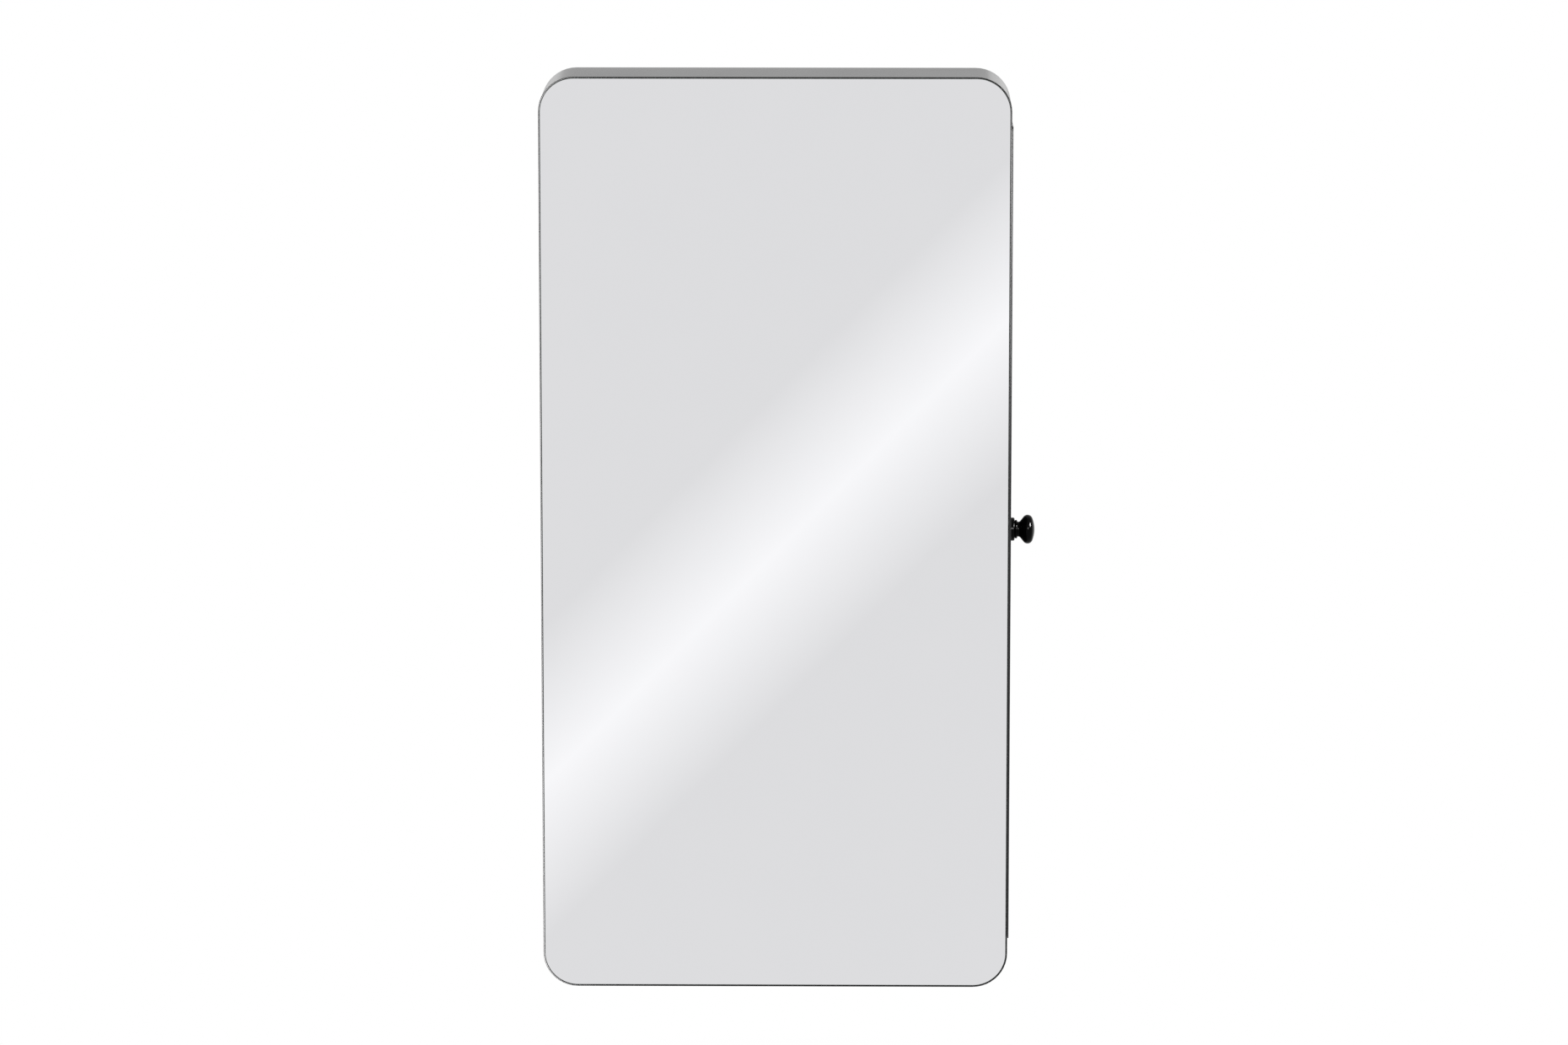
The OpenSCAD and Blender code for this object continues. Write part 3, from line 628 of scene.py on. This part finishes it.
def separate_solids(node):
    """The lowest and highest corner of each separate solid of a CAD node."""
    mesh = bmesh.new()
    mesh.from_mesh(nodes[node].data)
    bmesh.ops.remove_doubles(mesh, verts=mesh.verts, dist=touching)
    found = []
    for seed in mesh.verts:
        if seed.tag:
            continue
        seed.tag = True
        island = [seed]
        for vert in island:
            for edge in vert.link_edges:
                other = edge.other_vert(vert)
                if not other.tag:
                    other.tag = True
                    island.append(other)
        corners = [[v.co[axis] for v in island] for axis in range(3)]
        found.append((Vector([min(c) for c in corners]), Vector([max(c) for c in corners])))
    mesh.free()
    return found


def screw(outline, depth):
    """A screw along Z with a cross recess in its head's face, at the origin.

    The outline is its radii and heights, from the rim of the face down to the tip.
    """
    squares = 3
    narrowing = 0.45
    mesh = bmesh.new()
    bmesh.ops.create_grid(
        mesh, x_segments=squares, y_segments=squares, size=squares * cross_width / 2
    )
    corners = [
        f for f in mesh.faces
        if all(abs(v) > cross_width / 2 for v in f.calc_center_median().to_2d())
    ]
    bmesh.ops.delete(mesh, geom=corners, context="FACES")
    recess = mesh.faces[:]
    wings = [e for e in mesh.edges if e.is_boundary]
    rim = bmesh.ops.create_circle(mesh, cap_ends=False, radius=outline[0][0], segments=24)
    ring = sorted({e for v in rim["verts"] for e in v.link_edges}, key=lambda e: e.index)
    bmesh.ops.bridge_loops(mesh, edges=wings + ring)
    bmesh.ops.delete(mesh, geom=recess, context="FACES")
    sunk = bmesh.ops.extrude_edge_only(mesh, edges=wings)
    bmesh.ops.scale(mesh, vec=(narrowing, narrowing, 1), verts=vertices(sunk["geom"]))
    bmesh.ops.translate(mesh, vec=(0, 0, -depth), verts=vertices(sunk["geom"]))
    bmesh.ops.contextual_create(mesh, geom=edges(sunk["geom"]))
    for (radius, height), (next_radius, next_height) in zip(outline, outline[1:]):
        grown = bmesh.ops.extrude_edge_only(mesh, edges=ring)
        ring = edges(grown["geom"])
        growth = next_radius / radius
        bmesh.ops.scale(mesh, vec=(growth, growth, 1), verts=vertices(grown["geom"]))
        bmesh.ops.translate(mesh, vec=(0, 0, next_height - height), verts=vertices(grown["geom"]))
    bmesh.ops.contextual_create(mesh, geom=ring)
    bmesh.ops.translate(mesh, vec=(0, 0, outline[0][1]), verts=mesh.verts)
    bmesh.ops.recalc_face_normals(mesh, faces=mesh.faces)
    return mesh


def repeated(pattern, places):
    """One mesh with a copy of the pattern at each place, given as a matrix."""
    data = bpy.data.meshes.new("pattern")
    pattern.to_mesh(data)
    pattern.free()
    whole = bmesh.new()
    for place in places:
        copy = data.copy()
        copy.transform(place)
        whole.from_mesh(copy)
        bpy.data.meshes.remove(copy)
    bpy.data.meshes.remove(data)
    return whole


def at_top(box, axis):
    """The middle of a box's face on one side, with local Z pointing out of that side."""
    box_low, box_high = box
    half = (box_high - box_low) / 2
    axis = Vector(axis)
    face = (box_low + box_high) / 2 + Vector([half[i] * axis[i] for i in range(3)])
    return Matrix.Translation(face) @ axis.to_track_quat("Z", "Y").to_matrix().to_4x4()


def build_back_screws():
    head = 0.004
    edge = 0.0002
    boxes = separate_solids("back_screws")
    length = boxes[0][1].y - boxes[0][0].y
    outline = [
        (head - 2 * edge, 0),
        (head - edge, -edge / 4),
        (head - edge, -edge),
        (m4_radius, m4_radius - head),
        (m4_radius, edge - length),
        (m4_radius - edge, -length),
    ]
    places = [at_top(box, (0, 1, 0)) for box in boxes]
    screws = repeated(screw(outline, depth=0.0013), places)
    new_piece("back_screw_set", screws, [blackened], "back_screws")


build_back_screws()

# Slide carriers
# Two channels of 1.5 mm steel run across the inside of the band, above and below the rack.
# Their folded ends are spot-welded to the band, and each carries one slide.

carrier_sheet = 0.0015


def fold(mesh, edge, side, up, radius, reach):
    """Bends new sheet up from an edge of a flat one, then runs it straight to its full reach."""
    middle = (edge.verts[0].co + edge.verts[1].co) / 2
    bent = bmesh.ops.spin(
        mesh, geom=[edge, *edge.verts], cent=middle + up * radius, axis=side.cross(up),
        angle=math.radians(90), steps=5, use_merge=False,
    )
    run = bmesh.ops.extrude_edge_only(mesh, edges=edges(bent["geom_last"]))
    bmesh.ops.translate(mesh, vec=up * (reach - radius), verts=vertices(run["geom"]))


def folded_sheet(box, up, sheet, radius, sides):
    """A sheet at the foot of a box, with its edges folded up on the sides that are named."""
    box_low, box_high = box
    up = Vector(up)
    across = [Vector(side) for side in sides]
    size = box_high - box_low
    middle = (box_low + box_high) / 2
    reach = abs(size.dot(up))
    mesh = bmesh.new()
    bmesh.ops.create_grid(mesh, x_segments=1, y_segments=1, size=0.5)
    turn = (-up).to_track_quat("Z", "X" if abs(up.z) > 0.5 else "Y").to_matrix()
    bmesh.ops.rotate(mesh, matrix=turn, verts=mesh.verts)
    flat = Vector([
        size[i] - radius * sum(abs(side[i]) for side in across) for i in range(3)
    ])
    bmesh.ops.scale(mesh, vec=flat, verts=mesh.verts)
    bmesh.ops.translate(mesh, vec=middle - up * reach / 2, verts=mesh.verts)
    start = mesh.edges[:]
    for side in across:
        edge = max(start, key=lambda e: (e.verts[0].co + e.verts[1].co).dot(side))
        fold(mesh, edge, side, up, radius, reach)
    bmesh.ops.remove_doubles(mesh, verts=mesh.verts, dist=touching)
    bmesh.ops.recalc_face_normals(mesh, faces=mesh.faces)
    if mesh.faces[0].normal.dot(up) > 0:
        bmesh.ops.reverse_faces(mesh, faces=mesh.faces)
    bmesh.ops.solidify(mesh, geom=mesh.faces[:], thickness=sheet)
    bmesh.ops.recalc_face_normals(mesh, faces=mesh.faces)
    return mesh


four_sides = [(-1, 0, 0), (1, 0, 0), (0, -1, 0), (0, 1, 0)]
for node, name, up in (
    ("upper_carrier", "upper_channel", (0, 0, 1)),
    ("lower_carrier", "lower_channel", (0, 0, -1)),
):
    sheet = folded_sheet(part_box(node), up, carrier_sheet, 2 * carrier_sheet, four_sides)
    new_piece(name, sheet, [band_coat], node)

# Slides
# Two telescopic slides of roll-formed, zinc-plated steel, 45 mm wide. Polished steel balls in
# comb-shaped cages run between the outer, middle and inner members.

rolled_zinc = zinc_material("rolled zinc", along_x, roughness=(0.22, 0.36), relief=4 * micron)
for end in ("upper", "lower"):
    for member in ("outer", "middle", "inner"):
        finish(f"{end}_slide_{member}", rolled_zinc)
cage_zinc = zinc_material("pressed cage", all_round, roughness=(0.3, 0.45), relief=4 * micron)
ball_steel = surface_material("polished balls", coat_effect, {
    "Colour": (0.62, 0.62, 0.64, 1), "Second Colour": (0.52, 0.52, 0.53, 1),
    "Roughness": 0.05, "Second Roughness": 0.14, "Scale": 2000,
}, relief=1 * micron, shader_values={"IOR": 1.5, "Metallic": 1.0})
for row in ("outer", "inner"):
    finish(f"{row}_ball_cages", cage_zinc)
    finish(f"{row}_balls", ball_steel)

# Slide fixings
# Low wafer-head screws with a cross recess pass through each outer member and its carrier, so
# that the middle member clears them. Hexagon nuts close them outside.

bright_zinc = zinc_material("bright fasteners", all_round, roughness=(0.2, 0.32), relief=3 * micron)


def build_slide_screws():
    head = 0.004
    head_height = 0.0007
    edge = 0.00015
    boxes = separate_solids("slide_screws")
    length = boxes[0][1].z - boxes[0][0].z
    outline = [
        (head - 2 * edge, 0),
        (head - edge / 2, -edge / 2),
        (head, -2 * edge),
        (head, -head_height),
        (m4_radius, -head_height),
        (m4_radius, edge - length),
        (m4_radius - edge, -length),
    ]
    places = [at_top(box, (0, 0, 1 if box[0].z < 0 else -1)) for box in boxes]
    screws = repeated(screw(outline, depth=0.0005), places)
    new_piece("wafer_screw_set", screws, [bright_zinc], "slide_screws")


def hexagon_nut(height):
    """A nut standing on the origin, its six sides chamfered at both ends."""
    corner = 0.004
    bore = 0.00205
    chamfer = 0.00035
    mesh = bmesh.new()
    bmesh.ops.create_circle(mesh, cap_ends=False, radius=corner, segments=6)
    bmesh.ops.create_circle(mesh, cap_ends=False, radius=bore, segments=24)
    bmesh.ops.bridge_loops(mesh, edges=mesh.edges[:])
    grown = bmesh.ops.extrude_face_region(mesh, geom=mesh.faces[:])
    bmesh.ops.translate(mesh, vec=(0, 0, height), verts=vertices(grown["geom"]))
    bmesh.ops.recalc_face_normals(mesh, faces=mesh.faces)
    rims = [
        e for e in mesh.edges
        if abs(e.verts[0].co.z - e.verts[1].co.z) < touching
        and all(v.co.to_2d().length > 0.9 * corner for v in e.verts)
    ]
    chamfer_edges(mesh, rims, chamfer)
    return mesh


def build_nuts(node, name, axis, turn):
    """The nuts of a CAD node, standing along an axis and turned about it by some degrees."""
    boxes = separate_solids(node)
    height = abs((boxes[0][1] - boxes[0][0]).dot(Vector(axis)))
    places = [
        at_top(box, [-value for value in axis])
        @ Matrix.Rotation(math.radians(180), 4, "X") @ Matrix.Rotation(math.radians(turn), 4, "Z")
        for box in boxes
    ]
    new_piece(name, repeated(hexagon_nut(height), places), [bright_zinc], node)


build_slide_screws()
build_nuts("slide_nuts", "slide_nut_set", axis=(0, 0, 1), turn=90)

# Catch
# A magnetic catch keeps the rack shut: a ferrite block between two steel pole plates, in a
# white nylon housing that is screwed to a zinc-plated plate on the left of the band.

nylon = surface_material("white nylon", pore_effect, {
    "Colour": (0.78, 0.78, 0.75, 1), "Second Colour": (0.70, 0.70, 0.67, 1),
    "Roughness": 0.42, "Second Roughness": 0.52, "Scale": 1300,
}, relief=10 * micron, shader_values={"IOR": 1.53})
ferrite = surface_material("ferrite", pore_effect, {
    "Colour": (0.07, 0.07, 0.075, 1), "Second Colour": (0.03, 0.03, 0.033, 1),
    "Roughness": 0.55, "Second Roughness": 0.8, "Scale": 3500,
}, relief=20 * micron, shader_values={"IOR": 1.6})
new_piece("nylon_housing", softened("catch_housing", width=0.0005), [nylon], "catch_housing")
new_piece("mounting_plate", softened("catch_plate", width=0.0003), [sheet_zinc], "catch_plate")
new_piece("pole_plates", softened("catch_poles", width=0.0001), [bright_zinc], "catch_poles")
finish("catch_magnet", ferrite)


def build_catch_screws():
    head = 0.003
    shank = 0.0015
    head_height = 0.0015
    edge = 0.0002
    boxes = separate_solids("catch_screws")
    length = boxes[0][1].x - boxes[0][0].x
    outline = [
        (head - 4 * edge, 0),
        (head - 2 * edge, -edge),
        (head - edge / 2, -3 * edge),
        (head, -5 * edge),
        (head, -head_height),
        (shank, -head_height),
        (shank, -length),
    ]
    places = [at_top(box, (1, 0, 0)) for box in boxes]
    screws = repeated(screw(outline, depth=0.0009), places)
    new_piece("catch_screw_set", screws, [bright_zinc], "catch_screws")


build_catch_screws()

# Strike
# The magnet pulls on a bright steel plate, riveted flush to the back of the rack's rear
# upright.

finish("strike_rivets", bright_zinc)
new_piece("strike", softened("strike_plate", width=0.0002), [sheet_zinc], "strike_plate")

# Buffers
# Two round buffers of moulded black rubber, stuck to the inside of the band's left side, stop
# the closing rack.

finish("stop_buffers", surface_material("black rubber", pore_effect, {
    "Colour": (0.020, 0.020, 0.020, 1), "Second Colour": (0.032, 0.032, 0.031, 1),
    "Roughness": 0.62, "Second Roughness": 0.8, "Scale": 2400,
}, relief=20 * micron, shader_values={"IOR": 1.52}))

# Side panel
# A plate of 1.2 mm steel with round edges, coated like the band, closes the side opening. It
# is held to the rack by four welded studs and their nuts, and the knob stands at its middle.

finish("side_panel", band_coat)
finish("panel_studs", bright_zinc)
build_nuts("panel_nuts", "panel_nut_set", axis=(1, 0, 0), turn=0)


def lit_only(card, name, pieces):
    """Lets a card's glow reach these pieces alone."""
    group = bpy.data.collections.new(name)
    for piece in pieces:
        group.objects.link(piece)
    card.light_linking.receiver_collection = group


def build_rim_card(name, centre, even, half_width, foot, head):
    """A tall soft light in front, which the round edges of the coat mirror.

    It is even as far as one width from its middle and fades out at the other. Foot and head are
    two heights, each with its strength.
    """
    tall = 2.0
    card, tree, glow = reflection_card(name, centre, (centre[0], 0, centre[2]), 2 * half_width, tall)
    place = put(tree, "ShaderNodeSeparateXYZ", {0: put(tree, "ShaderNodeTexCoord").outputs["Object"]})
    away = calculate(tree, "ABSOLUTE", calculate(tree, "SUBTRACT", place.outputs["X"], centre[0]))
    fade = spread(tree, away, (even, half_width), (1, 0))
    rise = spread(tree, place.outputs["Z"], (foot[0], head[0]), (foot[1], head[1]))
    tree.links.new(calculate(tree, "MULTIPLY", fade, rise), glow.inputs["Strength"])
    let_through(tree, glow)
    lit_only(card, name + " on the coat", [steel_band, nodes["side_panel"]])


in_front = low.y - 0.6
build_rim_card(
    "left rim card", centre=(-0.38, in_front, -0.3), even=0.085, half_width=0.125,
    foot=(-0.53, 50), head=(-0.24, 32),
)
build_rim_card(
    "right rim card", centre=(0.4, in_front, -0.615), even=0.12, half_width=0.145,
    foot=(-0.035, 0), head=(0.377, 40),
)

# Knob
# A turned knob in gloss black enamel: a round foot, a bead, a narrow neck, a steep flare and
# a domed head with a full round rim. One machine screw holds it from inside the rack.

millimetre = 0.001
enamel = surface_material("gloss black enamel", coat_effect, {
    "Colour": (0.0006, 0.0006, 0.0007, 1), "Second Colour": (0.001, 0.001, 0.0011, 1),
    "Roughness": 0.07, "Second Roughness": 0.11, "Scale": 500,
}, relief=2 * micron, shader_values={"IOR": 1.5, "Specular IOR Level": 0.05})


def arc(centre, radius, start, end, steps):
    """Points of an arc, as radii from the knob's axis and heights above the panel."""
    angles = [math.radians(start + (end - start) * i / steps) for i in range(steps + 1)]
    return [(centre[0] + radius * math.cos(a), centre[1] + radius * math.sin(a)) for a in angles]


def knob_outline(rim_radius, length):
    """The knob's half section in millimetres, from the end of its bore round to its tip."""
    bore, bore_depth = 2.05, 14
    foot, foot_height, foot_edge = 12.7, 4.7, 1.5
    bead, bead_centre = 1.6, (8.6, 6.2)
    neck, neck_bend = 8.2, 2.5
    rim, widest = 5.7, 18.85
    flare = 52
    rim_centre = (rim_radius - rim, widest)
    across = (neck + neck_bend - rim_centre[0]) * math.cos(math.radians(flare)) - rim - neck_bend
    neck_centre = (neck + neck_bend, widest + across / math.sin(math.radians(flare)))
    bead_start = math.degrees(math.asin((foot_height - bead_centre[1]) / bead))
    crown = length - widest
    dome = (rim_centre[0] ** 2 + crown ** 2 - rim ** 2) / (2 * (crown - rim))
    dome_start = math.degrees(math.atan2(dome - crown, rim_centre[0]))
    return [
        (0, bore_depth),
        (bore, bore_depth),
        (bore, 0),
        (foot, 0),
        *arc((foot - foot_edge, foot_height - foot_edge), foot_edge, 0, 90, steps=8),
        *arc(bead_centre, bead, bead_start, 90, steps=12),
        (neck, bead_centre[1] + bead),
        *arc(neck_centre, neck_bend, 180, 180 - flare, steps=8),
        *arc(rim_centre, rim, -flare, dome_start, steps=20),
        *arc((0, length - dome), dome, dome_start, 90, steps=16)[1:],
    ]


def build_knob():
    box_low, box_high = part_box("knob")
    middle = (box_low + box_high) / 2
    radius = (box_high.z - box_low.z) / 2 / millimetre
    length = (box_high.x - box_low.x) / millimetre
    mesh = bmesh.new()
    last = None
    for away, height in knob_outline(radius, length):
        place = (box_low.x + height * millimetre, middle.y, middle.z + away * millimetre)
        vert = mesh.verts.new(place)
        if last is not None:
            mesh.edges.new((last, vert))
        last = vert
    bmesh.ops.spin(
        mesh, geom=mesh.verts[:] + mesh.edges[:], cent=middle, axis=(1, 0, 0),
        angle=math.radians(360), steps=96, use_merge=True,
    )
    bmesh.ops.remove_doubles(mesh, verts=mesh.verts, dist=touching)
    bmesh.ops.recalc_face_normals(mesh, faces=mesh.faces)
    return new_piece("turned_knob", mesh, [enamel], "knob")


def build_knob_screw():
    head = 0.004
    head_height = 0.0024
    edge = 0.0003
    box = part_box("knob_screw")
    length = box[1].x - box[0].x
    outline = [
        (head - 5 * edge, 0),
        (head - 2 * edge, -edge),
        (head - edge / 2, -3 * edge),
        (head, -5 * edge),
        (head, -head_height),
        (m4_radius, -head_height),
        (m4_radius, edge - length),
        (m4_radius - edge, -length),
    ]
    screws = repeated(screw(outline, depth=0.0014), [at_top(box, (-1, 0, 0))])
    new_piece("pan_screw", screws, [bright_zinc], "knob_screw")


def build_knob_window(knob, name, turn, rise, distance, size, strength):
    """A window that the knob's rounds mirror; turn and rise are its direction, in degrees."""
    start = Vector((high.x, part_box("knob")[0].y, 0))
    flat = math.cos(math.radians(rise))
    towards = Vector((
        math.sin(math.radians(turn)) * flat,
        -math.cos(math.radians(turn)) * flat,
        math.sin(math.radians(rise)),
    ))
    card, tree, glow = reflection_card(name, start + towards * distance, start, *size)
    glow.inputs["Strength"].default_value = strength
    let_through(tree, glow)
    lit_only(card, name + " on the knob", [knob])


turned_knob = build_knob()
build_knob_screw()
build_knob_window(
    turned_knob, "right window", turn=68, rise=33, distance=1.7, size=(0.78, 0.66), strength=160
)
build_knob_window(
    turned_knob, "front window", turn=8, rise=18, distance=1.9, size=(0.6, 0.45), strength=32
)

# Rack uprights
# The rack hangs between two folded channels of 1.2 mm steel, coated in a finer, more matt
# black. The side panel is bolted to the front one.

rack_sheet = 0.0012
rack_coat = surface_material("matt rack coat", coat_effect, {
    "Colour": (0.016, 0.016, 0.017, 1), "Second Colour": (0.024, 0.024, 0.025, 1),
    "Roughness": 0.4, "Second Roughness": 0.52, "Scale": 900,
}, relief=12 * micron, shader_values={"IOR": 1.5})
front_and_back = [(0, -1, 0), (0, 1, 0)]
for node, name, up in (
    ("front_upright", "front_channel", (-1, 0, 0)),
    ("rear_upright", "rear_channel", (1, 0, 0)),
):
    sheet = folded_sheet(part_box(node), up, rack_sheet, 2 * rack_sheet, front_and_back)
    new_piece(name, sheet, [rack_coat], node)

# Shelves
# Six trays of the same sheet, with lips folded up on all four sides and open at the corners,
# spot-welded between the uprights. The top one is upside down.

trays = [("top_tray", "top_shelf", (0, 0, -1)), ("bottom_tray", "bottom_shelf", (0, 0, 1))]
trays += [
    (node, "folded_" + node, (0, 0, 1)) for node in sorted(nodes) if node.startswith("shelf_")
]
for node, name, up in trays:
    sheet = folded_sheet(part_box(node), up, rack_sheet, 2 * rack_sheet, four_sides)
    new_piece(name, sheet, [rack_coat], node)

# Guard rods
# Ten 5 mm rods of drawn, chromed steel keep bottles on the shelves. Their ends are welded to
# the uprights.

finish("guard_rods", surface_material("chromed rod", zinc_effect, {
    "Colour": (0.74, 0.75, 0.76, 1), "Second Colour": (0.64, 0.65, 0.66, 1), "Grain": along_x,
    "Roughness": 0.05, "Second Roughness": 0.13, "Scale": 1200,
}, relief=1 * micron, shader_values={"IOR": 1.5, "Metallic": 1.0}))

# Slide rivets
# Steel rivets hold the inner members of the slides to the top and bottom trays, flush with
# the trays' floors.

finish("slide_rivets", bright_zinc)
